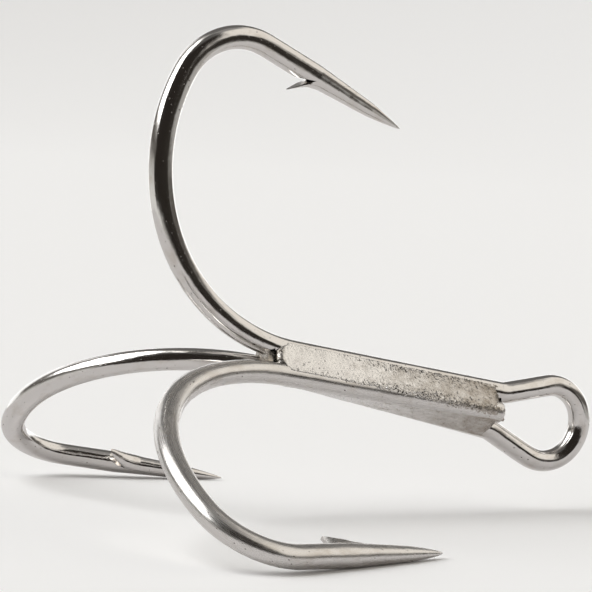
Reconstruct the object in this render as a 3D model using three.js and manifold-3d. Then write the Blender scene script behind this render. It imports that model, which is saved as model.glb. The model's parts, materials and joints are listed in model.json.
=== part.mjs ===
// A treble fish hook. One wire is bent into a double hook, whose middle is the eye, and a single hook is
// brazed into the groove between its two shanks. Millimetres, +Z up. The hook lies as it does on a table,
// on the spears of two hooks, with the third hook standing up and the shank along X.

import * as THREE from "three";
import { mergeVertices } from "three/addons/utils/BufferGeometryUtils.js";
import Module from "manifold-3d";

const wasm = await Module();
wasm.setup();

const degrees = THREE.MathUtils.degToRad;

// Driving dimensions, in millimetres and degrees.
const WIRE_RADIUS = 1.0;
const SHANK_LENGTH = 22.3; // from the crotch, where the bends begin, to the shoulders of the eye
const BEND_RADIUS = 16.3; // the wide bend that leaves the shank
const BEND_TURN = 110;
const HEEL_RADIUS = 6.2; // the tighter turn from the bend into the spear
const HEEL_TURN = 84.5;
const SPEAR_LENGTH = 15.9; // the straight run that ends in the point

// Angles round the shank are about X, from +Y towards +Z. In a section across the shanks, "across" runs
// from the rear shank to the top one, and "out" towards the single hook's shank. The double hook's shanks
// spread towards the eye, and the single shank lies askew between them, against the rear shank at the
// crotch and against the top shank at the eye.
const ACROSS_ANGLE = 107;
const CROTCH_HALF_SPREAD = 1.03;
const EYE_HALF_SPREAD = 1.82;
const SINGLE_AT_CROTCH = { across: -0.52, out: 2.1 };
const SINGLE_AT_EYE = { across: 0.4, out: 1.44 };

// The eye is a teardrop: two shoulders, two straight legs and a round end, turned a little out of the
// plane of the shanks.
const EYE_RADIUS = 3.6; // to the middle of the wire
const EYE_LEG_ANGLE = 18.5;
const EYE_SHOULDER_RADIUS = 1.8;
const EYE_TWIST = -15;

// The bends and spears are lightly forged: wider in the plane of the hook and thinner across it.
const FORGED_WIDTH = 1.06;
const FORGED_THICKNESS = 0.95;
const FORGING_RUN = 6; // along the wire, from round to fully forged

// Each point is ground in two steps: a long slim taper, and a short quick one that ends in the tip.
const TAPER_LENGTH = 10.5;
const GROUND_LENGTH = 3.9;
const GROUND_WIDTH = 0.64; // share of the full width where the short taper begins
const GROUND_ROUNDING = 0.75; // a power: below 1 the sides of the tip bulge

// The barb is a sliver cut out of the side that faces the shank and bent up, seen from the side:
// [distance from its tip towards the point, height above the middle of the wire].
const BARB_OUTLINE = [[3.5, 0.55], [3.3, 0.97], [1.95, 1.24], [1.1, 1.7], [0, 2.4], [0.7, 1.52], [1.93, 0.48]];
const BARB_CUT = [[1.9, 0.56], [0.7, 0.96], [0.2, 1.9], [1.1, 1.5]];
const BARB_WIDTH = 1.3;

// The braze lies in the three grooves and in the core between the shanks.
const BRAZE_START = -1.3; // along X, from the crotch
const BRAZE_END = SHANK_LENGTH - 0.3;
const CORE_START = -2.6;
const BRAZE_GAP = 0.04; // clearance to the wires
const BRAZE_EDGE_ANGLE = 24; // where a groove's braze thins out, from straight out, round each wire
const BRAZE_HOLLOW = 0.05; // how far the middle of its face sinks, as a share of the face's width
const BRAZE_END_HOLLOW = 0.08; // how much further it sinks at each end
const BRAZE_END_RUN = 1.6; // how far from its ends that begins
const NECK_HALF_WIDTH = 0.04; // the thinnest braze that reaches between two wires

// How finely the surfaces are divided.
const WIRE_SIDES = 16;
const BEND_STEPS = 30;
const SPEAR_STATIONS = [13, 10.5, 8, 5.5, 3.9, 2.7, 1.6, 0.8, 0.3]; // back from the tip
const SHANK_STEPS = 5;
const EYE_STEPS = 36;
const BRAZE_STEPS = 12;
const EDGE_STEPS = 5;

// Lying on its front and rear spears, the hook slopes down to its eye, which stays clear of the table.
const RESTING_PITCH = 11.1;
const RESTING_ROLL = -0.65;

// The three hooks stand about 120 degrees apart round the shank. Each is bent on its own, so their angles,
// starts, lengths and leans differ a little.
// start: how far towards the eye its bend begins; sideLean: how far its tip stands out of its plane;
// barb: how far back from the point the barb's tip is.
const TOP_HOOK = { angle: 90, start: 0.3, spear: SPEAR_LENGTH + 0.5, sideLean: -3.4, barb: 12.7 };
const FRONT_HOOK = { angle: 209.5, start: -0.5, spear: SPEAR_LENGTH, sideLean: 1.0, barb: 12.2 };
const REAR_HOOK = { angle: -29, start: 0, spear: SPEAR_LENGTH - 0.4, sideLean: -0.65, barb: 11.6 };
const LEAN_BEGINS = 0.35; // share of the hook's length that stays in its plane
const LEAN_GROWTH = 1.5; // a power: how the lean grows from there to the tip

// The unit vector at an angle about X.
function radial(angle) {
  return new THREE.Vector3(0, Math.cos(degrees(angle)), Math.sin(degrees(angle)));
}

const ACROSS = radial(ACROSS_ANGLE);
const OUT = radial(ACROSS_ANGLE + 90);

// A point of the section across the shanks, at a distance x along them.
function sectionPoint(x, across, out) {
  return new THREE.Vector3(x, 0, 0).addScaledVector(ACROSS, across).addScaledVector(OUT, out);
}

const TOP_SHANK = {
  crotch: sectionPoint(0, CROTCH_HALF_SPREAD, 0),
  eye: sectionPoint(SHANK_LENGTH, EYE_HALF_SPREAD, 0),
};
const REAR_SHANK = {
  crotch: sectionPoint(0, -CROTCH_HALF_SPREAD, 0),
  eye: sectionPoint(SHANK_LENGTH, -EYE_HALF_SPREAD, 0),
};
const FRONT_SHANK = {
  crotch: sectionPoint(0, SINGLE_AT_CROTCH.across, SINGLE_AT_CROTCH.out),
  eye: sectionPoint(SHANK_LENGTH, SINGLE_AT_EYE.across, SINGLE_AT_EYE.out),
};

// A hook's outline in its own plane, from the crotch to the tip: x towards the eye, y away from the shank.
function hookOutline(hook) {
  const outline = new THREE.Path();
  const bendStart = degrees(-90);
  const bendEnd = bendStart - degrees(BEND_TURN);
  const heelEnd = bendEnd - degrees(HEEL_TURN);
  const heelX = hook.start + (BEND_RADIUS - HEEL_RADIUS) * Math.cos(bendEnd);
  const heelY = BEND_RADIUS + (BEND_RADIUS - HEEL_RADIUS) * Math.sin(bendEnd);
  outline.absarc(hook.start, BEND_RADIUS, BEND_RADIUS, bendStart, bendEnd, true);
  outline.absarc(heelX, heelY, HEEL_RADIUS, bendEnd, heelEnd, true);
  const spearStart = outline.getPoint(1);
  outline.lineTo(
    spearStart.x + hook.spear * Math.sin(heelEnd),
    spearStart.y - hook.spear * Math.cos(heelEnd),
  );
  return outline;
}

// Half the wire's width at a distance back from the tip, as a share of its full width.
function pointTaper(distance) {
  if (distance < GROUND_LENGTH) {
    return GROUND_WIDTH * (distance / GROUND_LENGTH) ** GROUND_ROUNDING;
  }
  const tapered = Math.min(distance, TAPER_LENGTH);
  return THREE.MathUtils.mapLinear(tapered, GROUND_LENGTH, TAPER_LENGTH, GROUND_WIDTH, 1);
}

// The stations of one hook, from the crotch to just before the tip, and its tip. Each station has the
// middle of the wire, the normal of the hook's plane and the two half widths.
function hookStations(hook, shank) {
  const outline = hookOutline(hook);
  const length = outline.getLength();
  const bendLength = length - hook.spear;
  const along = shank.eye.clone().sub(shank.crotch).normalize();
  const outward = radial(hook.angle);
  outward.addScaledVector(along, -outward.dot(along)).normalize();
  const normal = along.clone().cross(outward);

  const distances = [];
  for (let i = 0; i <= BEND_STEPS; i++) distances.push((bendLength * i) / BEND_STEPS);
  for (const back of SPEAR_STATIONS) distances.push(length - back);
  distances.push(length);

  const stations = distances.map((distance) => {
    const flat = outline.getPointAt(distance / length);
    const leaning = Math.max(0, (distance / length - LEAN_BEGINS) / (1 - LEAN_BEGINS));
    const centre = shank.crotch.clone();
    centre.addScaledVector(along, flat.x).addScaledVector(outward, flat.y);
    centre.addScaledVector(normal, hook.sideLean * leaning ** LEAN_GROWTH);
    const forged = THREE.MathUtils.smoothstep(distance, 0, FORGING_RUN);
    const share = WIRE_RADIUS * pointTaper(length - distance);
    return {
      centre,
      normal,
      width: share * THREE.MathUtils.lerp(1, FORGED_WIDTH, forged),
      thickness: share * THREE.MathUtils.lerp(1, FORGED_THICKNESS, forged),
    };
  });
  const tip = stations.pop().centre;
  return { stations, tip, barb: hook.barb };
}

// Round stations along a shank, between its crotch and its eye end, without the two ends.
function shankStations(shank) {
  const stations = [];
  for (let i = 1; i < SHANK_STEPS; i++) {
    const centre = shank.crotch.clone().lerp(shank.eye, i / SHANK_STEPS);
    stations.push({ centre, normal: null, width: WIRE_RADIUS, thickness: WIRE_RADIUS });
  }
  return stations;
}

// The eye's stations, from the top shank round to the rear shank.
function eyeStations() {
  const opening = Math.atan2(EYE_HALF_SPREAD - CROTCH_HALF_SPREAD, SHANK_LENGTH);
  const leg = degrees(EYE_LEG_ANGLE);
  const shoulderX = -EYE_SHOULDER_RADIUS * Math.sin(opening);
  const shoulderY = EYE_HALF_SPREAD + EYE_SHOULDER_RADIUS * Math.cos(opening);
  const legStart = new THREE.Vector2(
    shoulderX + EYE_SHOULDER_RADIUS * Math.sin(leg),
    shoulderY - EYE_SHOULDER_RADIUS * Math.cos(leg),
  );
  const legEndX = legStart.x + (EYE_RADIUS * Math.cos(leg) - legStart.y) / Math.tan(leg);
  const roundX = legEndX + EYE_RADIUS * Math.sin(leg);
  const quarter = degrees(90);

  const outline = new THREE.Path();
  outline.absarc(shoulderX, shoulderY, EYE_SHOULDER_RADIUS, opening - quarter, leg - quarter, false);
  outline.absarc(roundX, 0, EYE_RADIUS, quarter + leg, -quarter - leg, true);
  outline.absarc(shoulderX, -shoulderY, EYE_SHOULDER_RADIUS, quarter - leg, quarter - opening, false);

  return outline.getSpacedPoints(EYE_STEPS).map((flat) => {
    const twist = EYE_TWIST * THREE.MathUtils.clamp(flat.x / roundX, 0, 1);
    const centre = new THREE.Vector3(SHANK_LENGTH + flat.x, 0, 0);
    centre.addScaledVector(radial(ACROSS_ANGLE + twist), flat.y);
    const normal = radial(ACROSS_ANGLE + twist + 90);
    return { centre, normal, width: WIRE_RADIUS, thickness: WIRE_RADIUS };
  });
}

// Stations without a normal take one that turns evenly between those before and after them.
function fillNormals(stations) {
  for (let i = 0; i < stations.length; i++) {
    if (stations[i].normal) continue;
    const before = i - 1;
    let after = i;
    while (!stations[after].normal) after++;
    for (let j = i; j < after; j++) {
      const share = (j - before) / (after - before);
      stations[j].normal = stations[before].normal.clone().lerp(stations[after].normal, share).normalize();
    }
  }
}

// A closed wire swept through its stations, with each end drawn to its own end point.
function sweepWire(stations, startPoint, endPoint) {
  fillNormals(stations);
  const positions = [];
  stations.forEach((station, i) => {
    const before = i > 0 ? stations[i - 1].centre : startPoint;
    const after = i < stations.length - 1 ? stations[i + 1].centre : endPoint;
    const tangent = after.clone().sub(before).normalize();
    const sideways = tangent.clone().cross(station.normal).normalize();
    const normal = sideways.clone().cross(tangent);
    for (let side = 0; side < WIRE_SIDES; side++) {
      const turn = (side / WIRE_SIDES) * 2 * Math.PI;
      const vertex = station.centre.clone();
      vertex.addScaledVector(sideways, station.width * Math.cos(turn));
      vertex.addScaledVector(normal, station.thickness * Math.sin(turn));
      positions.push(vertex);
    }
  });
  const startIndex = positions.push(startPoint) - 1;
  const endIndex = positions.push(endPoint) - 1;
  const lastRing = (stations.length - 1) * WIRE_SIDES;
  const index = [];
  for (let side = 0; side < WIRE_SIDES; side++) {
    const next = (side + 1) % WIRE_SIDES;
    index.push(startIndex, side, next);
    index.push(endIndex, lastRing + next, lastRing + side);
    for (let ring = 0; ring < lastRing; ring += WIRE_SIDES) {
      index.push(ring + side, ring + WIRE_SIDES + side, ring + WIRE_SIDES + next);
      index.push(ring + side, ring + WIRE_SIDES + next, ring + next);
    }
  }
  return outwardGeometry(positions, index);
}

// A geometry from points and triangles, turned so that its faces point out.
function outwardGeometry(points, index) {
  let volume = 0;
  for (let i = 0; i < index.length; i += 3) {
    const [a, b, c] = [points[index[i]], points[index[i + 1]], points[index[i + 2]]];
    volume += a.dot(b.clone().cross(c));
  }
  if (volume < 0) index.reverse();
  const geometry = new THREE.BufferGeometry().setFromPoints(points);
  return geometry.setIndex(index);
}

// A solid for the boolean steps, from any closed geometry.
function solidOf(geometry) {
  const bare = geometry.clone();
  bare.deleteAttribute("normal");
  bare.deleteAttribute("uv");
  const merged = mergeVertices(bare, 1e-5);
  return new wasm.Manifold(
    new wasm.Mesh({
      numProp: 3,
      vertProperties: merged.attributes.position.array,
      triVerts: new Uint32Array(merged.index.array),
    }),
  );
}

function geometryOf(solid) {
  const mesh = solid.getMesh();
  const geometry = new THREE.BufferGeometry();
  geometry.setAttribute("position", new THREE.BufferAttribute(mesh.vertProperties, 3));
  return geometry.setIndex(new THREE.BufferAttribute(mesh.triVerts, 1));
}

// A prism of a side-view outline, as thick as depth, placed at a hook's barb.
function barbPrism(outline, depth, place) {
  const shape = new THREE.Shape(outline.map(([forward, height]) => new THREE.Vector2(forward, height)));
  const geometry = new THREE.ExtrudeGeometry(shape, { depth, bevelEnabled: false });
  geometry.translate(0, 0, -depth / 2);
  return solidOf(geometry.applyMatrix4(place));
}

// The barb's frame: x from the barb's tip towards the point, y towards the shank, z across the hook.
function barbFrame({ stations, tip, barb }) {
  const distances = stations.map((station) => Math.abs(station.centre.distanceTo(tip) - barb));
  const nearest = stations[distances.indexOf(Math.min(...distances))];
  const forward = tip.clone().sub(nearest.centre).normalize();
  const across = forward.clone().cross(nearest.normal).cross(forward).normalize();
  const inward = across.clone().cross(forward);
  if (inward.dot(stations[0].centre.clone().sub(nearest.centre)) < 0) {
    inward.negate();
    across.negate();
  }
  const origin = tip.clone().addScaledVector(forward, -barb);
  return new THREE.Matrix4().makeBasis(forward, inward, across).setPosition(origin);
}

// Cuts the sliver's bed into the wire and adds the sliver.
function withBarb(wire, hook) {
  const place = barbFrame(hook);
  const bed = barbPrism(BARB_CUT, 3 * WIRE_RADIUS, place);
  const barb = barbPrism(BARB_OUTLINE, BARB_WIDTH, place);
  return wire.subtract(bed).add(barb);
}

// Where the wires' middles are in the section at x: on the straight shanks, or, before the crotch, where
// the bends have begun to leave them.
function shankCentre(shank, hook, x) {
  const centre = shank.crotch.clone().lerp(shank.eye, x / SHANK_LENGTH);
  const past = Math.max(0, hook.start - x);
  centre.addScaledVector(radial(hook.angle), BEND_RADIUS - Math.sqrt(BEND_RADIUS ** 2 - past ** 2));
  return new THREE.Vector2(centre.dot(ACROSS), centre.dot(OUT));
}

function sectionCentres(x) {
  return {
    top: shankCentre(TOP_SHANK, TOP_HOOK, x),
    front: shankCentre(FRONT_SHANK, FRONT_HOOK, x),
    rear: shankCentre(REAR_SHANK, REAR_HOOK, x),
  };
}

// How far from the line between two wires' middles the braze's neck ends, as an angle round a wire.
function neckAngle(from, to) {
  const reach = from.distanceTo(to) / 2 - NECK_HALF_WIDTH;
  const closest = BRAZE_GAP / WIRE_RADIUS / 2;
  return Math.max(closest, Math.acos(Math.min(1, reach / (WIRE_RADIUS + BRAZE_GAP))));
}

// Points round a wire, from one direction to another, just clear of it.
function wireArc(centre, fromAngle, toAngle) {
  const points = [];
  for (let i = 0; i <= EDGE_STEPS; i++) {
    const angle = THREE.MathUtils.lerp(fromAngle, toAngle, i / EDGE_STEPS);
    const offset = new THREE.Vector2(Math.cos(angle), Math.sin(angle));
    points.push(centre.clone().addScaledVector(offset, WIRE_RADIUS + BRAZE_GAP));
  }
  return points;
}

// The angle of one direction, brought within half a turn of another.
function angleNear(angle, reference) {
  const turn = 2 * Math.PI;
  return angle - turn * Math.round((angle - reference) / turn);
}

// The section of the braze in the groove between two wires, away from the third.
function grooveSection(first, second, third, x) {
  const towards = second.clone().sub(first).normalize();
  const outwards = new THREE.Vector2(-towards.y, towards.x);
  if (outwards.dot(third.clone().sub(first)) > 0) outwards.negate();
  const hand = Math.sign(outwards.cross(towards));
  const straightOut = Math.atan2(outwards.y, outwards.x);
  const edge = degrees(BRAZE_EDGE_ANGLE);
  const neck = degrees(90) - neckAngle(first, second);
  const firstArc = wireArc(first, straightOut + hand * neck, straightOut + hand * edge);
  const secondArc = wireArc(second, straightOut - hand * edge, straightOut - hand * neck);
  const toEnd = Math.min(x - BRAZE_START, BRAZE_END - x);
  const hollow = BRAZE_HOLLOW + BRAZE_END_HOLLOW * Math.max(0, 1 - toEnd / BRAZE_END_RUN) ** 2;
  const faceWidth = firstArc.at(-1).distanceTo(secondArc[0]);
  const face = [];
  for (let i = 1; i < EDGE_STEPS; i++) {
    const share = i / EDGE_STEPS;
    const point = firstArc.at(-1).clone().lerp(secondArc[0], share);
    face.push(point.addScaledVector(outwards, -hollow * faceWidth * Math.sin(Math.PI * share)));
  }
  return [...firstArc, ...face, ...secondArc];
}

// The section of the braze in the middle of the three wires.
function coreSection(centres) {
  const wires = [centres.top, centres.front, centres.rear];
  const middle = new THREE.Vector2();
  for (const wire of wires) middle.addScaledVector(wire, 1 / wires.length);
  return wires.flatMap((wire, i) => {
    const previous = wires[(i + 2) % 3];
    const next = wires[(i + 1) % 3];
    const inwards = middle.clone().sub(wire).angle();
    const fromPrevious = angleNear(previous.clone().sub(wire).angle(), inwards);
    const toNext = angleNear(next.clone().sub(wire).angle(), inwards);
    const startAngle = fromPrevious - Math.sign(fromPrevious - inwards) * neckAngle(wire, previous);
    const endAngle = toNext - Math.sign(toNext - inwards) * neckAngle(wire, next);
    return wireArc(wire, startAngle, endAngle);
  });
}

// A closed solid through sections of equal point count, from start to end along the shank.
function loftBraze(sectionAt, start, end) {
  const sections = [];
  const points = [];
  for (let step = 0; step <= BRAZE_STEPS; step++) {
    const x = THREE.MathUtils.lerp(start, end, step / BRAZE_STEPS);
    const section = sectionAt(x);
    if (THREE.ShapeUtils.isClockWise(section)) section.reverse();
    sections.push(section);
    for (const { x: across, y: out } of section) points.push(sectionPoint(x, across, out));
  }
  const count = sections[0].length;
  const lastRing = BRAZE_STEPS * count;
  const index = [];
  for (let ring = 0; ring < lastRing; ring += count) {
    for (let i = 0; i < count; i++) {
      const here = ring + i;
      const next = ring + ((i + 1) % count);
      index.push(here, next, next + count, here, next + count, here + count);
    }
  }
  const startCap = THREE.ShapeUtils.triangulateShape(sections[0], []);
  const endCap = THREE.ShapeUtils.triangulateShape(sections.at(-1), []);
  for (const [a, b, c] of startCap) index.push(a, c, b);
  for (const [a, b, c] of endCap) index.push(lastRing + a, lastRing + b, lastRing + c);
  return outwardGeometry(points, index);
}

// Builds the double hook's wire: top hook, top shank, eye, rear shank and rear hook, end to end.
function doubleHookGeometry(topHook, rearHook) {
  const top = [...topHook.stations].reverse();
  const rear = rearHook.stations.map((station) => ({ ...station, normal: station.normal.clone().negate() }));
  const stations = [
    ...top,
    ...shankStations(TOP_SHANK),
    ...eyeStations(),
    ...shankStations(REAR_SHANK).reverse(),
    ...rear,
  ];
  const wire = solidOf(sweepWire(stations, topHook.tip, rearHook.tip));
  return geometryOf(withBarb(withBarb(wire, topHook), rearHook));
}

// Builds the single hook's wire, from its cut shank end to its point.
function singleHookGeometry(frontHook) {
  const normal = frontHook.stations[0].normal;
  const cutEnd = { centre: FRONT_SHANK.eye, normal, width: WIRE_RADIUS, thickness: WIRE_RADIUS };
  const shank = shankStations(FRONT_SHANK).reverse();
  const wire = sweepWire([cutEnd, ...shank, ...frontHook.stations], FRONT_SHANK.eye, frontHook.tip);
  return geometryOf(withBarb(solidOf(wire), frontHook));
}

function grooveGeometry(first, second, third) {
  const sectionAt = (x) => {
    const centres = sectionCentres(x);
    return grooveSection(centres[first], centres[second], centres[third], x);
  };
  return loftBraze(sectionAt, BRAZE_START, BRAZE_END);
}

function coreGeometry() {
  return loftBraze((x) => coreSection(sectionCentres(x)), CORE_START, BRAZE_END);
}

const topHook = hookStations(TOP_HOOK, TOP_SHANK);
const frontHook = hookStations(FRONT_HOOK, FRONT_SHANK);
const rearHook = hookStations(REAR_HOOK, REAR_SHANK);

const nickelledWire = { color: 0xc9c4bc, metalness: 1.0, roughness: 0.16 };
const nickelledBraze = { color: 0xb9b1a4, metalness: 1.0, roughness: 0.36 };

const PIECES = [
  ["double_hook_wire", doubleHookGeometry(topHook, rearHook), nickelledWire],
  ["single_hook_wire", singleHookGeometry(frontHook), nickelledWire],
  ["braze_top_groove", grooveGeometry("top", "front", "rear"), nickelledBraze],
  ["braze_lower_groove", grooveGeometry("front", "rear", "top"), nickelledBraze],
  ["braze_rear_groove", grooveGeometry("rear", "top", "front"), nickelledBraze],
  ["braze_core", coreGeometry(), nickelledBraze],
];

const assembly = new THREE.Group();
for (const [name, geometry, look] of PIECES) {
  const mesh = new THREE.Mesh(geometry, new THREE.MeshStandardMaterial(look));
  mesh.name = name;
  assembly.add(mesh);
}

// Lay the hook down from the shank's own frame, which has the crotch at its origin and the shank along X.
assembly.rotation.set(degrees(RESTING_ROLL), degrees(RESTING_PITCH), 0);

// Put the middle of the footprint at the origin.
const treble = new THREE.Group();
treble.add(assembly);
const bounds = new THREE.Box3().setFromObject(treble, true);
const middle = bounds.getCenter(new THREE.Vector3());
assembly.position.set(-middle.x, -middle.y, -bounds.min.z);

export default treble;
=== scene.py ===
import json
import math

import bpy
import numpy as np
from mathutils import Matrix, Vector, noise


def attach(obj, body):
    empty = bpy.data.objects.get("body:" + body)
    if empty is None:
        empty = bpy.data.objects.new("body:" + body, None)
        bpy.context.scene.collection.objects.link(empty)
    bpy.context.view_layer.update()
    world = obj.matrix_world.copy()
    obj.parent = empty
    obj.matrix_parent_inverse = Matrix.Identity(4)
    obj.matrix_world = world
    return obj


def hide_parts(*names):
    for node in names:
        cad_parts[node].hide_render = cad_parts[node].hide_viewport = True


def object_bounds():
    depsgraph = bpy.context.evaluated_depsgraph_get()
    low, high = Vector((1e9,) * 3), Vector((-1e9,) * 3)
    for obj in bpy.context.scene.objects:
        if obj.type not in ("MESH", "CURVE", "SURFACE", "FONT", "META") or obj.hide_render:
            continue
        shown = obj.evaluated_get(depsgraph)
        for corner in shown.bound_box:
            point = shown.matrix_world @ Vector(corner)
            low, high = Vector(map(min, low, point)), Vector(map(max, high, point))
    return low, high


# A treble fish hook lying on two of its spears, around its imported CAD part. One wire is the top hook, the
# eye and the rear hook, a second is the front hook, and braze fills the grooves between the three shanks.
# The shapes are worked out in millimetres in the shank's own frame, with the crotch at its origin and the
# shank along X, and go into the row frame in metres at the end.

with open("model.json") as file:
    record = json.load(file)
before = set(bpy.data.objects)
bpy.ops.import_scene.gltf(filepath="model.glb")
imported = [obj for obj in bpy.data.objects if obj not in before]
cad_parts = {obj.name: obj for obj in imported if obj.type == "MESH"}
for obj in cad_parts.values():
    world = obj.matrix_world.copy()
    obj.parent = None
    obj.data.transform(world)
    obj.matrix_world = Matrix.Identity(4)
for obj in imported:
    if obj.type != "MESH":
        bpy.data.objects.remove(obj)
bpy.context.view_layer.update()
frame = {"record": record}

MM = 0.001
PLACE = "place_mm"  # the vertex attribute that the finishes read

# Driving dimensions, the same as the CAD part's.
WIRE_RADIUS = 1.0
SHANK_LENGTH = 22.3
BEND_RADIUS = 16.3
BEND_TURN = 110
HEEL_RADIUS = 6.2
HEEL_TURN = 84.5
SPEAR_LENGTH = 15.9
ACROSS_ANGLE = 107
CROTCH_HALF_SPREAD = 1.03
EYE_HALF_SPREAD = 1.82
EYE_RADIUS = 3.6
EYE_LEG_ANGLE = 18.5
EYE_SHOULDER_RADIUS = 1.8
EYE_TWIST = -15
FORGED_WIDTH = 1.06
FORGED_THICKNESS = 0.95
FORGING_RUN = 6
TAPER_LENGTH = 10.5
GROUND_LENGTH = 3.9
GROUND_WIDTH = 0.64
LEAN_BEGINS = 0.35
LEAN_GROWTH = 1.5
RESTING_PITCH = 11.1
RESTING_ROLL = -0.65
CORE_START = -2.6
CORE_END = SHANK_LENGTH - 0.3

# Each hook has its angle about the shank, where its bend starts, its spear's length, how far its point leans
# to the side and how far back from the point its barb's tip is, which are the CAD part's. It also has how far
# its barb is lifted as a share of its full height, whether the cut under the barb stands open, and how
# rounded its ground point is, and there the front and rear hooks differ from the CAD part.
TOP_HOOK = {
    "angle": 90, "start": 0.3, "spear": SPEAR_LENGTH + 0.5, "side_lean": -3.4,
    "barb": 12.7, "lift": 1.0, "open_barb": True, "rounding": 0.75,
}
FRONT_HOOK = {
    "angle": 209.5, "start": -0.5, "spear": SPEAR_LENGTH, "side_lean": 1.0,
    "barb": 12.2, "lift": 0.88, "open_barb": False, "rounding": 0.6,
}
REAR_HOOK = {
    "angle": -29, "start": 0, "spear": SPEAR_LENGTH - 0.4, "side_lean": -0.65,
    "barb": 11.6, "lift": 1.0, "open_barb": True, "rounding": 0.7,
}

# How finely the wires are divided, in millimetres along them unless it says otherwise.
WIRE_SIDES = 64
WIRE_STEP = 0.3
SHANK_STEP = 0.5
POINT_STEP = 0.1
POINT_STEPS_RUN = 3  # how far behind the taper the short steps begin
POINT_STEPS_END = 0.3  # how far back from the tip they end
TIP_RINGS = (0.24, 0.16, 0.1, 0.05, 0.02)  # the last sections' distances back from the tip
SHOULDER_POINTS = 5
LEG_STEPS = 12
EYE_POINTS = 56
SMOOTHING_ROUNDS = 4
SQUARENESS = 0.2  # how far the forged section goes from an ellipse towards a rectangle
# The rounding of the single wire's cut end: how far back from it, and the share of the wire's full radius.
CUT_END_ROUNDING = ((0, 0.55), (0.05, 0.75), (0.13, 0.88), (0.25, 0.96), (0.42, 1.0))
CUT_END_CROWN = 0.02

# The barb's sliver from root to tip, seen from the side. Each entry has the outer face and the cut face, as
# [distance from the barb's tip towards the point, height above the middle of the wire], and half its width.
BARB_SECTIONS = [
    ([4.0, 0.80], [3.8, 0.30], 0.70),
    ([3.3, 0.93], [3.0, 0.35], 0.76),
    ([2.7, 1.06], [2.3, 0.42], 0.80),
    ([2.1, 1.19], [1.80, 0.62], 0.76),
    ([1.6, 1.38], [1.38, 0.96], 0.68),
    ([1.15, 1.64], [1.0, 1.30], 0.58),
    ([0.75, 1.91], [0.66, 1.67], 0.46),
    ([0.4, 2.15], [0.35, 2.00], 0.34),
    ([0.12, 2.33], [0.11, 2.27], 0.22),
    ([0.0, 2.40], [0.01, 2.39], 0.16),
]
SHEER_FOOT = 0.85  # how high a closed barb's sheer back starts, inside the wire
SHEER_SLOPE = 0.3  # how far its back leans, as a share of its outer face's place along the wire
SLIVER_POINTS = 15
SLIVER_ROUNDNESS = 0.8
CROWN_SAG = 1.6  # how far its outer face falls to its sides, as a share of its thickness
BED_HALF_WIDTH = 1.5
# The wedge under an open barb, in the same side view.
BARB_CUT = [[1.9, 0.56], [0.75, 0.90], [0.25, 1.05], [0.1, 2.2], [1.1, 1.5]]

# The braze's surface, in millimetres.
BRAZE_SKIN = 0.05  # how far its face stands above the plane that touches both wires
BRAZE_INSIDE = 0.3  # how far inside the wires its hidden side lies
BRAZE_STEP = 0.06
HIDDEN_REACH = 88  # how far round each wire its hidden side goes, in degrees from straight out
REACH_GROWTH = 1.5  # a power: above 1 the skins widen mostly near the eye
FRONT_RUN = 0.7  # from its rounded front to its full height
FRONT_BOW = 0.9  # how far its front goes back from its middle to its sides
FRONT_BOW_POWER = 2.5
FRONT_WAVER = 0.12
FRONT_DROP = 0.6  # how far its face falls at its front
FRONT_SKIN_DROP = 0.3
END_RUN = 1.3  # from its hollow end to its full height
END_DROP = 0.55
END_SKIN_DROP = 0.09
DROP_POWER = 0.6  # below 1 the drops at the front and the end reach nearly to the wires
SKIN_EDGE_DEPTH = 0.03  # how far below the wire's surface the edges of its skins end
# Each groove's two wires and the third one, and how far the braze reaches round each of the two, beyond
# straight out, in degrees at the crotch and at the eye.
GROOVES = {
    "top_braze": {
        "node": "braze_top_groove", "wires": ["top", "front", "rear"], "reach": [(6, 14), (8, 72)],
        "start": -1.95, "end": 22.0, "hollow": 0.03, "roughness": 1.0, "seed": 1,
    },
    "lower_braze": {
        "node": "braze_lower_groove", "wires": ["front", "rear", "top"], "reach": [(10, 14), (10, 12)],
        "start": -1.8, "end": 22.35, "hollow": 0.02, "roughness": 0.25, "seed": 2,
    },
    "rear_braze": {
        "node": "braze_rear_groove", "wires": ["rear", "top", "front"], "reach": [(8, 10), (8, 10)],
        "start": -1.8, "end": 22.0, "hollow": 0.05, "roughness": 0.8, "seed": 3,
    },
}
FACE_POINTS = 40
SKIN_POINTS = 14
INNER_POINTS = 7

# The braze's grain. Each has how many times it repeats in a millimetre, and its depth in millimetres.
LUMPS = (0.8, 0.03)
FINE_GRAIN = (6.5, 0.022)
PITS = (4.2, 0.2)
PIT_THRESHOLD = 0.42
CRINKLE_DEPTH = 0.10
CRINKLE_LEVEL = 0.25

# The core between the three wires. Its web, ahead of the grooves, stands out and ripples by shares of the
# core's own thickness, and dies away between two places along the shank.
CORE_STEP = 0.12
CORE_SHARES = (0.35, 0.42, 0.5, 0.58, 0.65)
CORE_BULGE = 0.8
CORE_RIPPLE = 0.45
CORE_WEB_END = (-1.6, -0.4)


def unit(vector):
    return vector / np.linalg.norm(vector)


def radial(angle):
    """The unit vector at an angle in degrees about X, from +Y towards +Z."""
    turn = math.radians(angle)
    return np.array([0.0, math.cos(turn), math.sin(turn)])


ACROSS = radial(ACROSS_ANGLE)
OUT = radial(ACROSS_ANGLE + 90)


def section_point(x, across, out):
    return np.array([x, 0.0, 0.0]) + ACROSS * across + OUT * out


def shank(crotch_across, crotch_out, eye_across, eye_out):
    return {
        "crotch": section_point(0, crotch_across, crotch_out),
        "eye": section_point(SHANK_LENGTH, eye_across, eye_out),
    }


TOP_SHANK = shank(CROTCH_HALF_SPREAD, 0, EYE_HALF_SPREAD, 0)
REAR_SHANK = shank(-CROTCH_HALF_SPREAD, 0, -EYE_HALF_SPREAD, 0)
FRONT_SHANK = shank(-0.52, 2.1, 0.4, 1.44)


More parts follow.
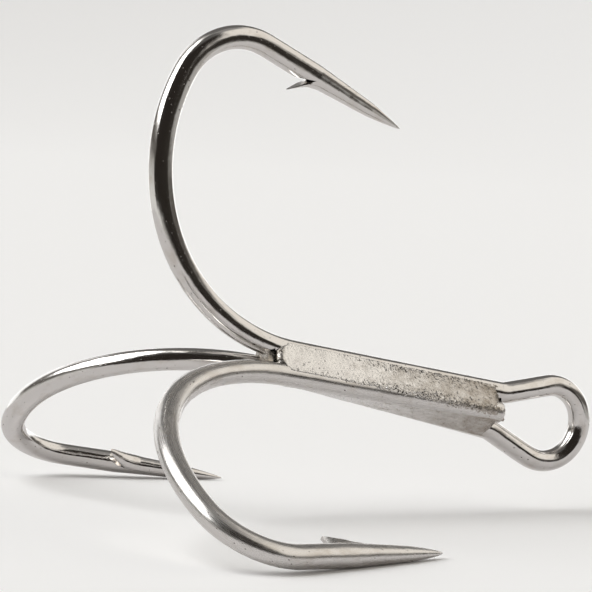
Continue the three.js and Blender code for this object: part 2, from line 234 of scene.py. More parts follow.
def smoothstep(value, low, high):
    share = np.clip((value - low) / (high - low), 0, 1)
    return share * share * (3 - 2 * share)


# ---------------------------------------------------------------- wires


def hook_outline(hook, distance):
    """A point of a hook's line, in its plane: x towards the eye, y away from the shank."""
    bend_turn, heel_turn = math.radians(BEND_TURN), math.radians(HEEL_TURN)
    bend_length, heel_length = BEND_RADIUS * bend_turn, HEEL_RADIUS * heel_turn
    start = math.radians(-90)
    if distance < bend_length:
        angle = start - distance / BEND_RADIUS
        bend_centre = np.array([hook["start"], BEND_RADIUS])
        return bend_centre + BEND_RADIUS * np.array([math.cos(angle), math.sin(angle)])
    heel_centre = np.array([hook["start"], BEND_RADIUS]) + (BEND_RADIUS - HEEL_RADIUS) * np.array(
        [math.cos(start - bend_turn), math.sin(start - bend_turn)]
    )
    heel_distance = min(distance - bend_length, heel_length)
    angle = start - bend_turn - heel_distance / HEEL_RADIUS
    point = heel_centre + HEEL_RADIUS * np.array([math.cos(angle), math.sin(angle)])
    straight = max(0.0, distance - bend_length - heel_length)
    return point + straight * np.array([math.sin(angle), -math.cos(angle)])


def bent_length():
    return BEND_RADIUS * math.radians(BEND_TURN) + HEEL_RADIUS * math.radians(HEEL_TURN)


def point_taper(back, rounding):
    """Half the wire's width at a distance back from the tip, as a share of its full width."""
    if back < GROUND_LENGTH:
        return GROUND_WIDTH * (back / GROUND_LENGTH) ** rounding
    share = (min(back, TAPER_LENGTH) - GROUND_LENGTH) / (TAPER_LENGTH - GROUND_LENGTH)
    return GROUND_WIDTH + (1 - GROUND_WIDTH) * share


def station(centre, normal, width=WIRE_RADIUS, thickness=WIRE_RADIUS, forged=0.0):
    return {"centre": centre, "normal": normal, "width": width, "thickness": thickness, "forged": forged}


def hook_stations(hook, on_shank):
    """The stations of one hook, from the crotch to just before the tip, and its tip."""
    length = bent_length() + hook["spear"]
    along = unit(on_shank["eye"] - on_shank["crotch"])
    outward = radial(hook["angle"])
    outward = unit(outward - along * outward.dot(along))
    normal = np.cross(along, outward)
    fine_from = length - TAPER_LENGTH - POINT_STEPS_RUN
    distances = list(np.arange(0, fine_from, WIRE_STEP))
    distances += list(np.arange(fine_from, length - POINT_STEPS_END, POINT_STEP))
    distances += [length - back for back in TIP_RINGS] + [length]
    stations = []
    for distance in distances:
        flat = hook_outline(hook, distance)
        leaning = max(0.0, (distance / length - LEAN_BEGINS) / (1 - LEAN_BEGINS))
        lean = hook["side_lean"] * leaning**LEAN_GROWTH
        centre = on_shank["crotch"] + along * flat[0] + outward * flat[1] + normal * lean
        forged = smoothstep(distance, 0, FORGING_RUN)
        share = WIRE_RADIUS * point_taper(length - distance, hook["rounding"]) if distance < length else 0
        width = share * (1 + (FORGED_WIDTH - 1) * forged)
        thickness = share * (1 + (FORGED_THICKNESS - 1) * forged)
        stations.append(station(centre, normal, width, thickness, forged))
    tip = stations.pop()["centre"]
    return dict(hook, stations=stations, tip=tip)


def shank_stations(on_shank):
    """Round stations along a shank, between its crotch and its eye end, without the two ends."""
    count = int(SHANK_LENGTH / SHANK_STEP)
    ends = on_shank["crotch"], on_shank["eye"]
    return [station(ends[0] + (ends[1] - ends[0]) * i / count, None) for i in range(1, count)]


def eye_outline():
    """The eye's line in its plane, from the top shank to the rear shank, and where its round end is."""
    opening = math.atan2(EYE_HALF_SPREAD - CROTCH_HALF_SPREAD, SHANK_LENGTH)
    leg = math.radians(EYE_LEG_ANGLE)
    quarter = math.radians(90)
    shoulder = np.array([-math.sin(opening), math.cos(opening)]) * EYE_SHOULDER_RADIUS + [0, EYE_HALF_SPREAD]
    leg_start = shoulder + EYE_SHOULDER_RADIUS * np.array([math.sin(leg), -math.cos(leg)])
    leg_end_x = leg_start[0] + (EYE_RADIUS * math.cos(leg) - leg_start[1]) / math.tan(leg)
    round_x = leg_end_x + EYE_RADIUS * math.sin(leg)

    def arc(centre, radius, start, end, count):
        angles = np.linspace(start, end, count)
        return [centre + radius * np.array([math.cos(a), math.sin(a)]) for a in angles]

    first = arc(shoulder, EYE_SHOULDER_RADIUS, opening - quarter, leg - quarter, SHOULDER_POINTS)
    ring = arc(np.array([round_x, 0]), EYE_RADIUS, quarter + leg, -quarter - leg, EYE_POINTS)
    legs = [first[-1] + (ring[0] - first[-1]) * i / LEG_STEPS for i in range(1, LEG_STEPS)]
    half = first + legs
    other_half = [point * [1, -1] for point in reversed(half)]
    return half + ring + other_half, round_x


def eye_stations():
    outline, round_x = eye_outline()
    stations = []
    for x, y in outline:
        twist = EYE_TWIST * np.clip(x / round_x, 0, 1)
        centre = np.array([SHANK_LENGTH + x, 0, 0]) + radial(ACROSS_ANGLE + twist) * y
        stations.append(station(centre, radial(ACROSS_ANGLE + twist + 90)))
    return stations


def fill_normals(stations):
    """Stations without a normal take one that turns evenly between those before and after them."""
    known = [i for i, s in enumerate(stations) if s["normal"] is not None]
    for before, after in zip(known, known[1:]):
        for i in range(before + 1, after):
            share = (i - before) / (after - before)
            mixed = stations[before]["normal"] * (1 - share) + stations[after]["normal"] * share
            stations[i]["normal"] = unit(mixed)


def smooth_centres(stations, rounds):
    """Eases the joints between arcs and lines, as a bent wire does, without moving the ends."""
    centres = np.array([s["centre"] for s in stations])
    for _ in range(rounds):
        centres[1:-1] = centres[1:-1] * 0.5 + (centres[:-2] + centres[2:]) * 0.25
    for s, centre in zip(stations, centres):
        s["centre"] = centre


def wire_frames(stations, start_point, end_point):
    """Adds to each station the wire's direction there and the two directions of its section."""
    centres = [start_point] + [s["centre"] for s in stations] + [end_point]
    for i, s in enumerate(stations):
        s["tangent"] = unit(centres[i + 2] - centres[i])
        s["sideways"] = unit(np.cross(s["tangent"], s["normal"]))
        s["across"] = np.cross(s["sideways"], s["tangent"])


def sweep_wire(stations, start_point, end_point):
    """Points and faces of a closed wire through its stations, drawn to an end point at each end."""
    fill_normals(stations)
    wire_frames(stations, start_point, end_point)
    turns = np.linspace(0, 2 * math.pi, WIRE_SIDES, endpoint=False)
    points = []
    for s in stations:
        power = 2 / (2 + SQUARENESS * s["forged"])
        across = np.sign(np.cos(turns)) * np.abs(np.cos(turns)) ** power
        through = np.sign(np.sin(turns)) * np.abs(np.sin(turns)) ** power
        ring = s["centre"] + np.outer(across * s["width"], s["sideways"])
        points.append(ring + np.outer(through * s["thickness"], s["across"]))
    points = np.vstack(points + [start_point[None], end_point[None]])
    faces = []
    count = len(stations)
    start_index, end_index = count * WIRE_SIDES, count * WIRE_SIDES + 1
    for side in range(WIRE_SIDES):
        after = (side + 1) % WIRE_SIDES
        last = (count - 1) * WIRE_SIDES
        faces.append([start_index, side, after])
        faces.append([end_index, last + after, last + side])
        for ring in range(count - 1):
            here, there = ring * WIRE_SIDES, (ring + 1) * WIRE_SIDES
            faces.append([here + side, there + side, there + after, here + after])
    return points, faces


# ---------------------------------------------------------------- placing and meshes


def resting_rotation():
    roll = Matrix.Rotation(math.radians(RESTING_ROLL), 3, "X")
    pitch = Matrix.Rotation(math.radians(RESTING_PITCH), 3, "Y")
    return np.array(roll @ pitch)


RESTING = resting_rotation()
EYE_CENTRE = np.array([SHANK_LENGTH + eye_outline()[1], 0, 0])
EYE_MOUNT = np.array(next(m for m in frame["record"]["mounts"] if m["name"] == "eye")["pos_m"])


def to_row(points):
    """From millimetres in the shank's frame to metres in the row frame, with the eye at its mount."""
    return (np.asarray(points) - EYE_CENTRE) @ RESTING.T * MM + EYE_MOUNT


def make_object(name, points, faces):
    """An object from points in the shank's frame, with its faces turned outwards."""
    mesh = bpy.data.meshes.new(name)
    mesh.from_pydata([tuple(p) for p in to_row(points)], [], faces)
    obj = bpy.data.objects.new(name, mesh)
    bpy.context.scene.collection.objects.link(obj)
    if signed_volume(mesh) < 0:
        mesh.flip_normals()
    return obj


def signed_volume(mesh):
    total = 0.0
    for polygon in mesh.polygons:
        corners = [mesh.vertices[i].co for i in polygon.vertices]
        for b, c in zip(corners[1:], corners[2:]):
            total += corners[0].dot(b.cross(c))
    return total


def boolean(obj, tool, operation):
    """Cuts or joins the tool to the object, and removes the tool."""
    modifier = obj.modifiers.new(operation, "BOOLEAN")
    modifier.operation = operation
    modifier.solver = "EXACT"
    modifier.object = tool
    bpy.context.view_layer.update()
    depsgraph = bpy.context.evaluated_depsgraph_get()
    obj.data = bpy.data.meshes.new_from_object(obj.evaluated_get(depsgraph))
    obj.modifiers.clear()
    bpy.data.objects.remove(tool)


def loft(rings):
    """Points and faces of a closed solid through rings of equal point count."""
    count = len(rings[0])
    faces = [list(range(count)), [len(rings) * count - 1 - i for i in range(count)]]
    for ring in range(len(rings) - 1):
        here, there = ring * count, (ring + 1) * count
        for i in range(count):
            after = (i + 1) % count
            faces.append([here + i, there + i, there + after, here + after])
    return np.vstack(rings), faces


def from_row(points):
    """The reverse of to_row."""
    return (np.asarray(points) - EYE_MOUNT) / MM @ RESTING + EYE_CENTRE


def vertex_points(obj):
    points = np.zeros(len(obj.data.vertices) * 3)
    obj.data.vertices.foreach_get("co", points)
    return from_row(points.reshape(-1, 3))


def keep_places(obj, places):
    """Keeps each vertex's own place in millimetres for the finishes to read."""
    attribute = obj.data.attributes.new(PLACE, "FLOAT_VECTOR", "POINT")
    attribute.data.foreach_set("vector", np.asarray(places, np.float32).ravel())


def straightened(points, stations):
    """Each point's place if the wire were straight: along it, and in its section."""
    centres = np.array([s["centre"] for s in stations])
    runs = np.linalg.norm(np.diff(centres, axis=0), axis=1)
    lengths = np.concatenate([[0], np.cumsum(runs)])
    places = []
    for part in np.array_split(points, len(points) // 2000 + 1):
        nearest = np.argmin(((part[:, None] - centres[None]) ** 2).sum(2), axis=1)
        for point, index in zip(part, nearest):
            s = stations[index]
            offset = point - s["centre"]
            along = lengths[index] + offset.dot(s["tangent"])
            places.append([along, offset.dot(s["sideways"]), offset.dot(s["across"])])
    return np.array(places)


# ---------------------------------------------------------------- barbs


def barb_frame(hook):
    """The barb's frame: its tip's place along the wire, towards the point, towards the shank, and across."""
    stations, tip = hook["stations"], hook["tip"]
    nearest = min(stations, key=lambda s: abs(np.linalg.norm(s["centre"] - tip) - hook["barb"]))
    forward = unit(tip - nearest["centre"])
    across = unit(np.cross(np.cross(forward, nearest["normal"]), forward))
    inward = np.cross(across, forward)
    if inward.dot(stations[0]["centre"] - nearest["centre"]) < 0:
        inward, across = -inward, -across
    return tip - forward * hook["barb"], forward, inward, across


def barb_sliver(hook):
    """The sliver that was cut and bent up: a shaving of the wire's round side, thin and narrow at its tip.
    A closed barb's is a fin instead, filled down into the wire behind a sheer back."""
    origin, forward, inward, across = barb_frame(hook)
    shares = np.linspace(-1, 1, SLIVER_POINTS)
    sagging = 1 - np.sqrt(1 - (SLIVER_ROUNDNESS * shares) ** 2)
    rings = []
    for outer, cut, half_width in BARB_SECTIONS:
        outer, cut = np.array(outer), np.array(cut)
        thickness = np.linalg.norm(cut - outer)
        if not hook["open_barb"] and cut[1] > SHEER_FOOT:
            cut = np.array([SHEER_SLOPE * outer[0], SHEER_FOOT])
        crown = outer + np.outer(sagging, unit(cut - outer)) * thickness * CROWN_SAG
        side_view = np.vstack([crown, np.repeat([cut], SLIVER_POINTS, axis=0)])
        standing = np.maximum(side_view[:, 1] - WIRE_RADIUS, 0)
        side_view[:, 1] -= standing * (1 - hook["lift"])
        sideways = np.concatenate([shares, shares[::-1]]) * half_width
        ring = origin + np.outer(side_view[:, 0], forward) + np.outer(side_view[:, 1], inward)
        rings.append(ring + np.outer(sideways, across))
    points, faces = loft(rings)
    return make_object("sliver", points, faces)


def barb_bed(hook):
    """The wedge that the cut leaves empty under the sliver."""
    origin, forward, inward, across = barb_frame(hook)
    outline = np.array(BARB_CUT)
    side_view = origin + np.outer(outline[:, 0], forward) + np.outer(outline[:, 1], inward)
    rings = [side_view + across * side for side in (-BED_HALF_WIDTH, BED_HALF_WIDTH)]
    points, faces = loft(rings)
    return make_object("bed", points, faces)


def add_barb(obj, hook):
    if hook["open_barb"]:
        boolean(obj, barb_bed(hook), "DIFFERENCE")
    boolean(obj, barb_sliver(hook), "UNION")


# ---------------------------------------------------------------- braze


def shank_centre(on_shank, hook, x):
    """Where a wire's middle is in the section at x, as (across, out)."""
    centre = on_shank["crotch"] + (on_shank["eye"] - on_shank["crotch"]) * x / SHANK_LENGTH
    past = max(0.0, hook["start"] - x)
    centre = centre + radial(hook["angle"]) * (BEND_RADIUS - math.sqrt(BEND_RADIUS**2 - past**2))
    return np.array([centre.dot(ACROSS), centre.dot(OUT)])


def section_centres(x):
    return {
        "top": shank_centre(TOP_SHANK, TOP_HOOK, x),
        "front": shank_centre(FRONT_SHANK, FRONT_HOOK, x),
        "rear": shank_centre(REAR_SHANK, REAR_HOOK, x),
    }


def grain(x, t, seed, roughness):
    """The cast grain of the braze, in millimetres: lumps, crinkles and pits, roughest past mid-shank."""
    place = Vector((x, t, seed * 7.3))
    lumps = noise.noise(place * LUMPS[0]) * LUMPS[1]
    rougher = 0.3 + 0.9 * smoothstep(x, 3, 12) - 0.55 * smoothstep(x, 13, 20)
    skewed = Vector((x * 3.2 + t * 2.0, t * 4.6 - x * 1.2, seed * 3.1))
    crinkle = (abs(noise.noise(skewed)) - CRINKLE_LEVEL) * CRINKLE_DEPTH
    crinkle += noise.noise(place * FINE_GRAIN[0]) * FINE_GRAIN[1]
    elsewhere = Vector((40, 0, 0))
    pits = max(0.0, noise.noise(place * PITS[0] + elsewhere) - PIT_THRESHOLD) * PITS[1]
    return lumps + (crinkle * rougher - pits) * roughness


def around(centre, outwards, towards, radius, angle):
    """A point at an angle from straight out round a wire, towards the other wire if positive."""
    turn = math.radians(angle)
    return centre + radius * (outwards * math.cos(turn) + towards * math.sin(turn))


def groove_section(first, second, third, x, groove):
    """The section of the braze in the groove between two wires. Its outer side is a skin over the first
    wire, a face that nearly touches both wires' outer sides, and a skin over the second. Its inner side is
    hidden in the wires."""
    towards = unit(second - first)
    outwards = np.array([-towards[1], towards[0]])
    if outwards.dot(third - first) > 0:
        outwards = -outwards
    spacing = np.linalg.norm(second - first)
    seed = groove["seed"]
    hollow_end = (1 - np.clip((groove["end"] - x) / END_RUN, 0, 1)) ** 2
    to_eye = np.clip(x / SHANK_LENGTH, 0, 1)
    reaches = [low + (high - low) * to_eye**REACH_GROWTH for low, high in groove["reach"]]

    def front(share):
        """1 before the rounded front and 0 behind it. The front is furthest forward in the middle."""
        line = groove["start"] + FRONT_BOW * abs(2 * share - 1) ** FRONT_BOW_POWER
        line += FRONT_WAVER * noise.noise(Vector((seed * 5, share * 9, 2)))
        return 1 - math.sqrt(1 - (1 - np.clip((x - line) / FRONT_RUN, 0, 1)) ** 2)

    def raised(along_section, reach_share, face_share):
        thinning = 1 - reach_share**2
        rougher_sides = 0.5 + 1.1 * (2 * face_share - 1) ** 2
        rough = grain(x, along_section, seed, groove["roughness"] * rougher_sides)
        skin = BRAZE_SKIN * thinning - SKIN_EDGE_DEPTH * (1 - thinning)
        skin -= FRONT_SKIN_DROP * front(face_share) + END_SKIN_DROP * hollow_end
        return skin + rough * (0.5 + 0.5 * thinning)

    outer = []
    for share in np.linspace(1, 0, SKIN_POINTS, endpoint=False):
        height = raised(-share * math.radians(reaches[0]), share, 0)
        outer.append(around(first, outwards, towards, WIRE_RADIUS + height, -reaches[0] * share))
    for share in np.linspace(0, 1, FACE_POINTS):
        bow = math.sin(math.pi * share)
        height = WIRE_RADIUS + raised(spacing * share, 0, share) - groove["hollow"] * spacing * bow
        height -= (FRONT_DROP * front(share) + END_DROP * hollow_end) * bow**DROP_POWER
        outer.append(first + towards * spacing * share + outwards * height)
    for share in np.linspace(0, 1, SKIN_POINTS + 1)[1:]:
        height = raised(spacing + share * math.radians(reaches[1]), share, 1)
        outer.append(around(second, outwards, -towards, WIRE_RADIUS + height, -reaches[1] * share))
    inner_radius = WIRE_RADIUS - BRAZE_INSIDE
    inner = [
        around(second, outwards, -towards, inner_radius, angle)
        for angle in np.linspace(-reaches[1], HIDDEN_REACH, INNER_POINTS)
    ]
    inner += [
        around(first, outwards, towards, inner_radius, angle)
        for angle in np.linspace(HIDDEN_REACH, -reaches[0], INNER_POINTS)
    ]
    return np.array(outer + inner)


def core_section(centres, x):
    """The section of the braze between the three wires. At its front its rippled sides fill the gaps."""
    names = ["top", "front", "rear"]
    middle = sum(centres[n] for n in names) / 3
    in_web = 1 - smoothstep(x, *CORE_WEB_END)
    section = []
    for n in names:
        for share in CORE_SHARES:
            here, there = centres[n], centres[names[(names.index(n) + 1) % 3]]
            side = here + (there - here) * share
            ripple = noise.noise(Vector((x * 1.2, share * 14, names.index(n) * 5))) * CORE_RIPPLE
            section.append(side + (side - middle) * (CORE_BULGE + ripple) * in_web)
    return np.array(section)


def lofted_braze(name, section_at, start, end, step):
    rings = []
    for x in np.linspace(start, end, int((end - start) / step)):
        rings.append(np.array([section_point(x, across, out) for across, out in section_at(x)]))
    points, faces = loft(rings)
    obj = make_object(name, points, faces)
    keep_places(obj, points)
    return obj


def groove_braze(name, groove):
    def section_at(x):
        centres = section_centres(x)
        return groove_section(*[centres[wire] for wire in groove["wires"]], x, groove)

    return lofted_braze(name, section_at, groove["start"], groove["end"], BRAZE_STEP)


def core_braze(name):
    def section_at(x):
        return core_section(section_centres(x), x)

    return lofted_braze(name, section_at, CORE_START, CORE_END, CORE_STEP)


# ---------------------------------------------------------------- materials


def principled(name, base, roughness):
    material = bpy.data.materials.new(name)
    material.use_nodes = True
    shader = material.node_tree.nodes["Principled BSDF"]
    shader.inputs["Base Color"].default_value = (*base, 1)
    shader.inputs["Metallic"].default_value = 1.0
    shader.inputs["Roughness"].default_value = roughness
    return material, material.node_tree, shader


def link_or_set(tree, socket, value):
    if isinstance(value, bpy.types.NodeSocket):
        tree.links.new(value, socket)
    else:
        socket.default_value = value


def node_maths(tree, operation, *values):
    node = tree.nodes.new("ShaderNodeMath")
    node.operation = operation
    for socket, value in zip(node.inputs, values):
        link_or_set(tree, socket, value)
    return node.outputs[0]


def place_on(tree, stretch):
    """The piece's own place in millimetres, stretched by a factor in each direction."""
    attribute = tree.nodes.new("ShaderNodeAttribute")
    attribute.attribute_name = PLACE
    scaled = tree.nodes.new("ShaderNodeVectorMath")
    scaled.operation = "MULTIPLY"
    tree.links.new(attribute.outputs["Vector"], scaled.inputs[0])
    scaled.inputs[1].default_value = stretch
    return scaled.outputs["Vector"]


def noise_on(tree, stretch, detail=2.0, roughness=0.5):
    node = tree.nodes.new("ShaderNodeTexNoise")
    node.inputs["Scale"].default_value = 1.0
    node.inputs["Detail"].default_value = detail
    node.inputs["Roughness"].default_value = roughness
    tree.links.new(place_on(tree, stretch), node.inputs["Vector"])
    return node.outputs["Fac"]


def ranged(tree, value, low, high, to_low=0.0, to_high=1.0):
    node = tree.nodes.new("ShaderNodeMapRange")
    tree.links.new(value, node.inputs["Value"])
    for name, number in (("From Min", low), ("From Max", high), ("To Min", to_low), ("To Max", to_high)):
        node.inputs[name].default_value = number
    return node.outputs["Result"]


def mixed(tree, factor, first, second):
    """A colour between two, each a socket or three numbers."""
    node = tree.nodes.new("ShaderNodeMix")
    node.data_type = "RGBA"
    link_or_set(tree, node.inputs["Factor"], factor)
    for name, colour in (("A", first), ("B", second)):
        link_or_set(tree, node.inputs[name], colour if not isinstance(colour, tuple) else (*colour, 1))
    return node.outputs["Result"]


def bumped(tree, height, distance, under=None):
    """A normal from a height from 0 to 1, which stands for a distance in millimetres."""
    node = tree.nodes.new("ShaderNodeBump")
    node.inputs["Distance"].default_value = distance * MM
    tree.links.new(height, node.inputs["Height"])
    if under is not None:
        tree.links.new(under, node.inputs["Normal"])
    return node.outputs["Normal"]


# Patterns, as how many times they repeat in a millimetre along the piece and in its two other directions.
DRAWN_LINES = (0.3, 11.0, 11.0)
DENTS = (0.55, 0.8, 0.8)
SPECKS = (3.2, 4.2, 4.2)
STAINS = (0.5, 0.9, 0.9)
SUGAR = (8.0, 8.0, 8.0)
BLOTCHES = (1.1, 1.6, 1.6)

# Depths of relief, in millimetres.
DRAWN_DEPTH = 0.004
DENT_DEPTH = 0.035
SPECK_DEPTH = 0.01
SUGAR_DEPTH = 0.03

NICKEL = (0.76, 0.74, 0.715)
STAINED_NICKEL = (0.64, 0.60, 0.55)
SPECK = (0.16, 0.14, 0.12)
BRIGHT_BRAZE = (0.86, 0.845, 0.82)
# The brown of the braze towards the eye, which also serves as painted shade at its front in the crotch.
BROWNED_AND_SHADED_BRAZE = (0.40, 0.36, 0.31)
BRAZE_PIT = (0.17, 0.145, 0.12)


def nickelled_wire(name, smoothest, roughest):
    """Bright nickel over drawn wire: faint lines along it, shallow dents, dark specks and brown stains."""
    material, tree, shader = principled(name, NICKEL, smoothest)
    drawn = noise_on(tree, DRAWN_LINES, 4.0, 0.6)
    dents = noise_on(tree, DENTS, 2.0)
    specks = ranged(tree, noise_on(tree, SPECKS, 1.0), 0.735, 0.76)
    stains = ranged(tree, noise_on(tree, STAINS, 4.0, 0.6), 0.52, 0.78)
    colour = mixed(tree, stains, NICKEL, STAINED_NICKEL)
    colour = mixed(tree, specks, colour, SPECK)
    tree.links.new(colour, shader.inputs["Base Color"])
    gloss = ranged(tree, drawn, 0.3, 0.7, smoothest, roughest)
    gloss = node_maths(tree, "ADD", gloss, node_maths(tree, "MULTIPLY", stains, 0.06))
    gloss = node_maths(tree, "ADD", gloss, node_maths(tree, "MULTIPLY", specks, 0.35))
    tree.links.new(gloss, shader.inputs["Roughness"])
    normal = bumped(tree, dents, DENT_DEPTH)
    normal = bumped(tree, drawn, DRAWN_DEPTH, normal)
    normal = bumped(tree, node_maths(tree, "SUBTRACT", 1.0, specks), SPECK_DEPTH, normal)
    tree.links.new(normal, shader.inputs["Normal"])
    return material


def nickelled_braze():
    """Nickel over cast braze: a sugary grain, dark in its pits, browner and duller towards the eye, and
    painted shade that darkens its front in the crotch.
    """
    material, tree, shader = principled("nickelled_braze", BRIGHT_BRAZE, 0.22)
    sugar = noise_on(tree, SUGAR, 3.0, 0.7)
    blotches = noise_on(tree, BLOTCHES, 4.0, 0.6)
    separate = tree.nodes.new("ShaderNodeSeparateXYZ")
    tree.links.new(place_on(tree, (1, 1, 1)), separate.inputs[0])
    browning_and_crotch_shade = ranged(tree, separate.outputs["X"], 4.0, SHANK_LENGTH, -0.15, 0.95)
    browning_and_crotch_shade = node_maths(tree, "ADD", browning_and_crotch_shade, ranged(tree, blotches, 0.3, 0.7, -0.3, 0.3))
    # Painted shade: the braze's front in the crotch, where the wires meet, is darkened with the same brown.
    browning_and_crotch_shade = node_maths(tree, "ADD", browning_and_crotch_shade, ranged(tree, separate.outputs["X"], -0.9, -1.5, 0.0, 0.9))
    browning_and_crotch_shade = ranged(tree, browning_and_crotch_shade, 0.0, 1.0)
    pits = ranged(tree, sugar, 0.40, 0.31)
    colour = mixed(tree, browning_and_crotch_shade, BRIGHT_BRAZE, BROWNED_AND_SHADED_BRAZE)
    colour = mixed(tree, pits, colour, BRAZE_PIT)
    tree.links.new(colour, shader.inputs["Base Color"])
    gloss = ranged(tree, blotches, 0.3, 0.7, 0.16, 0.30)
    tree.links.new(gloss, shader.inputs["Roughness"])
    tree.links.new(bumped(tree, sugar, SUGAR_DEPTH), shader.inputs["Normal"])
    return material


def matt(name, colour):
    material = bpy.data.materials.new(name)
    material.use_nodes = True
    shader = material.node_tree.nodes["Principled BSDF"]
    shader.inputs["Base Color"].default_value = (*colour, 1)
    shader.inputs["Roughness"].default_value = 1.0
    shader.inputs["Specular IOR Level"].default_value = 0.0
    return material


# ---------------------------------------------------------------- pieces


def shade(obj, sharp_angle=40):
    obj.data.shade_smooth()
    obj.data.set_sharp_from_angle(angle=math.radians(sharp_angle))


def finish_piece(obj, material, node):
    obj.data.materials.clear()
    obj.data.materials.append(material)
    for polygon in obj.data.polygons:
        polygon.material_index = 0
    shade(obj)
    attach(obj, "root")
    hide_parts(node)


def double_wire():
    """Top hook, top shank, eye, rear shank and rear hook, end to end."""
    top = hook_stations(TOP_HOOK, TOP_SHANK)
    rear = hook_stations(REAR_HOOK, REAR_SHANK)
    turned = [dict(s, normal=-s["normal"]) for s in rear["stations"]]
    stations = top["stations"][::-1] + shank_stations(TOP_SHANK) + eye_stations()
    stations += shank_stations(REAR_SHANK)[::-1] + turned
    smooth_centres(stations, SMOOTHING_ROUNDS)
    points, faces = sweep_wire(stations, top["tip"], rear["tip"])
    obj = make_object("double_wire", points, faces)
    add_barb(obj, top)
    add_barb(obj, rear)
    keep_places(obj, straightened(vertex_points(obj), stations))
    return obj


def single_wire():
    front = hook_stations(FRONT_HOOK, FRONT_SHANK)
    normal = front["stations"][0]["normal"]
    end = FRONT_SHANK["eye"]
    along = unit(end - FRONT_SHANK["crotch"])
    cut_end = []
    for back, share in CUT_END_ROUNDING:
        cut_end.append(station(end - along * back, normal, WIRE_RADIUS * share, WIRE_RADIUS * share))
    stations = cut_end + shank_stations(FRONT_SHANK)[::-1] + front["stations"]
    points, faces = sweep_wire(stations, end + along * CUT_END_CROWN, front["tip"])
    obj = make_object("single_wire", points, faces)
    add_barb(obj, front)
    keep_places(obj, straightened(vertex_points(obj), stations))
    return obj


double_finish = nickelled_wire("nickelled_wire", 0.07, 0.18)
single_finish = nickelled_wire("duller_nickelled_wire", 0.20, 0.34)
braze_finish = nickelled_braze()
finish_piece(double_wire(), double_finish, "double_hook_wire")
finish_piece(single_wire(), single_finish, "single_hook_wire")
for name, groove in GROOVES.items():
    finish_piece(groove_braze(name, groove), braze_finish, groove["node"])
finish_piece(core_braze("core_braze"), braze_finish, "braze_core")


# ---------------------------------------------------------------- floor, light and camera

# In metres.
NEAR_FLOOR_RADIUS = 0.105
NEAR_FLOOR_CENTRE = (0.02, 0.035)
SWEEP_RADIUS = 1.0
SWEEP_CURVE = 1.0
SWEEP_HEIGHT = 3.0
FLOOR_GAP = 0.00002

def ring_surface(name, profile, centre, sides=128):
    """A surface of revolution about a vertical line, from [radius, height] pairs, with its middle filled."""
    points = [(centre[0], centre[1], profile[0][1])]
    for radius, height in profile:
        for side in range(sides):
            turn = 2 * math.pi * side / sides
            points.append((centre[0] + radius * math.cos(turn), centre[1] + radius * math.sin(turn), height))
    faces = [[0, 1 + side, 1 + (side + 1) % sides] for side in range(sides)]
    for ring in range(len(profile) - 1):
        here, there = 1 + ring * sides, 1 + (ring + 1) * sides
        for side in range(sides):
            after = (side + 1) % sides
            faces.append([here + side, there + side, there + after, here + after])
    mesh = bpy.data.meshes.new(name)
    mesh.from_pydata(points, [], faces)
    mesh.shade_smooth()
    obj = bpy.data.objects.new(name, mesh)
    bpy.context.scene.collection.objects.link(obj)
    return obj


def floor_and_sweep(floor_height):
    """A pale floor that curves up into a wall far round the hook, for the camera, and the part of it near
    the hook that the metal reflects."""
    near = ring_surface("near_floor", [(NEAR_FLOOR_RADIUS, floor_height - FLOOR_GAP)], NEAR_FLOOR_CENTRE)
    near.visible_camera = False
    curve = [(SWEEP_RADIUS, floor_height)]
    for angle in np.linspace(0, math.pi / 2, 24)[1:]:
        out = SWEEP_RADIUS + SWEEP_CURVE * math.sin(angle)
        curve.append((out, floor_height + SWEEP_CURVE * (1 - math.cos(angle))))
    curve.append((SWEEP_RADIUS + SWEEP_CURVE, SWEEP_HEIGHT))
    sweep = ring_surface("sweep", curve, (0, 0))
    for visibility in ("visible_glossy", "visible_diffuse", "visible_shadow"):
        setattr(sweep, visibility, False)
    near.data.materials.append(matt("table_card", (0.74, 0.725, 0.73)))
    sweep.data.materials.append(matt("pale_floor", (0.99, 0.99, 0.985)))


# The studio as the hook sees it. Each panel has its middle azimuth and half width, its lowest and highest
# elevation and the softness of its edge, all in degrees, and its colour. Azimuth 0 is towards -Y and 90
# towards +X. Later panels cover earlier ones.
ROOM_COLOUR = (0.45, 0.44, 0.42)
PANELS = [
    ("white_sweep", 155, 45, -90, 18, 9, (1.5, 1.5, 1.5)),
    ("pale_table", -120, 70, -90, -6, 10, (0.8, 0.79, 0.77)),
    ("ceiling", 90, 90, 62, 90, 8, (0.30, 0.29, 0.28)),
    ("rear_ceiling", 152, 46, 24, 90, 7, (0.15, 0.145, 0.14)),
    ("dark_ceiling", -20, 45, 50, 90, 8, (0.12, 0.115, 0.11)),
    ("far_left", -172, 9, 0, 42, 5, (1.1, 1.1, 1.1)),
    ("left_gap", -148, 13, 4, 60, 5, (0.22, 0.21, 0.20)),
    ("warm_panel", 70, 42, 15, 60, 4, (0.96, 0.91, 0.84)),
    ("right_gap", 60, 45, 2, 12, 4, (0.07, 0.06, 0.05)),
    ("right_shade", 68, 20, 4, 20, 5, (0.12, 0.11, 0.10)),
    ("right_dark", 26, 20, -18, 12, 4, (0.03, 0.026, 0.022)),
    ("dark_room", -26, 51, -18, 58, 6, (0.025, 0.021, 0.018)),
    ("under_key", -110, 48, 3, 14, 4, (0.12, 0.11, 0.10)),
    ("key", -104, 31, 19, 74, 3, (4.0, 4.0, 4.0)),
]


def within(tree, offset, half, softness):
    """1 where the offset is well within half, 0 where it is well beyond it, with a soft edge."""
    node = tree.nodes.new("ShaderNodeMapRange")
    node.interpolation_type = "SMOOTHSTEP"
    tree.links.new(node_maths(tree, "ABSOLUTE", offset), node.inputs["Value"])
    node.inputs["From Min"].default_value = half + softness
    node.inputs["From Max"].default_value = half - softness
    return node.outputs["Result"]


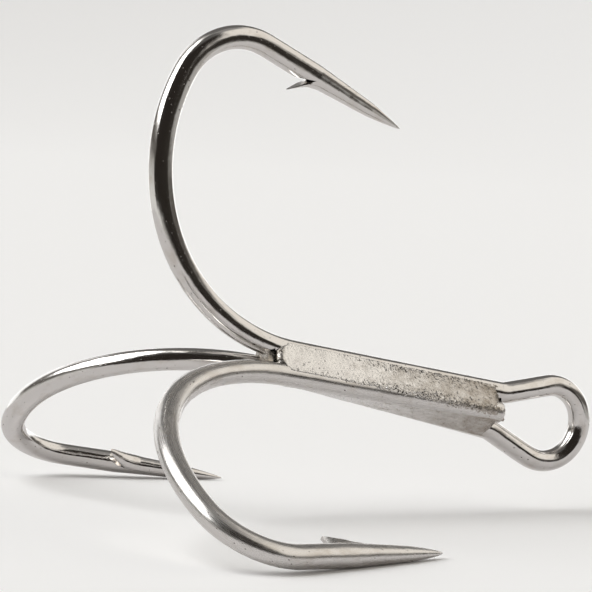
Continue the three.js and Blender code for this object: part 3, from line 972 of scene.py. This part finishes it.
def studio_light():
    world = bpy.data.worlds.new("studio")
    world.use_nodes = True
    tree = world.node_tree
    background = tree.nodes["Background"]
    direction = tree.nodes.new("ShaderNodeSeparateXYZ")
    tree.links.new(tree.nodes.new("ShaderNodeTexCoord").outputs["Generated"], direction.inputs[0])
    x, y, z = direction.outputs
    to_degrees = math.degrees(1)
    azimuth = node_maths(tree, "ARCTAN2", x, node_maths(tree, "MULTIPLY", y, -1))
    azimuth = node_maths(tree, "MULTIPLY", azimuth, to_degrees)
    elevation = node_maths(tree, "MULTIPLY", node_maths(tree, "ARCSINE", z), to_degrees)
    colour = None
    for name, middle, half, low, high, softness, panel in PANELS:
        turned = node_maths(tree, "WRAP", node_maths(tree, "SUBTRACT", azimuth, middle), 180, -180)
        sideways = within(tree, turned, half, softness)
        raised = node_maths(tree, "SUBTRACT", elevation, (low + high) / 2)
        upright = within(tree, raised, (high - low) / 2, softness)
        mix = tree.nodes.new("ShaderNodeMix")
        mix.data_type = "RGBA"
        mix.label = name
        tree.links.new(node_maths(tree, "MULTIPLY", sideways, upright), mix.inputs["Factor"])
        if colour is None:
            mix.inputs["A"].default_value = (*ROOM_COLOUR, 1)
        else:
            tree.links.new(colour, mix.inputs["A"])
        mix.inputs["B"].default_value = (*panel, 1)
        colour = mix.outputs["Result"]
    tree.links.new(colour, background.inputs["Color"])
    bpy.context.scene.world = world


# The camera, in degrees and millimetres.
CAMERA_HEADING = 27.73  # from +Y towards +X
CAMERA_ELEVATION = 4.54
CAMERA_ROLL = 3.91
CAMERA_DISTANCE = 229.0
CAMERA_AIM = (-5.15, 2.65, 19.42)
CAMERA_VIEW = 13.117
SENSOR_WIDTH = 36
CLIP_START = 0.01
CLIP_END = 10


def camera():
    data = bpy.data.cameras.new("camera")
    data.sensor_width = SENSOR_WIDTH
    data.lens = data.sensor_width / 2 / math.tan(math.radians(CAMERA_VIEW / 2))
    data.clip_start = CLIP_START
    data.clip_end = CLIP_END
    obj = bpy.data.objects.new("camera", data)
    heading, elevation = math.radians(CAMERA_HEADING), math.radians(CAMERA_ELEVATION)
    forward = Vector(
        (
            math.sin(heading) * math.cos(elevation),
            math.cos(heading) * math.cos(elevation),
            -math.sin(elevation),
        )
    )
    place = Matrix.Translation((Vector(CAMERA_AIM) - forward * CAMERA_DISTANCE) * MM)
    turn = forward.to_track_quat("-Z", "Y").to_matrix().to_4x4()
    obj.matrix_world = place @ turn @ Matrix.Rotation(math.radians(CAMERA_ROLL), 4, "Z")
    bpy.context.scene.collection.objects.link(obj)
    bpy.context.scene.camera = obj


visual_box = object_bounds()
floor_and_sweep(visual_box[0].z)
studio_light()
camera()
bpy.context.scene.view_settings.view_transform = "Standard"
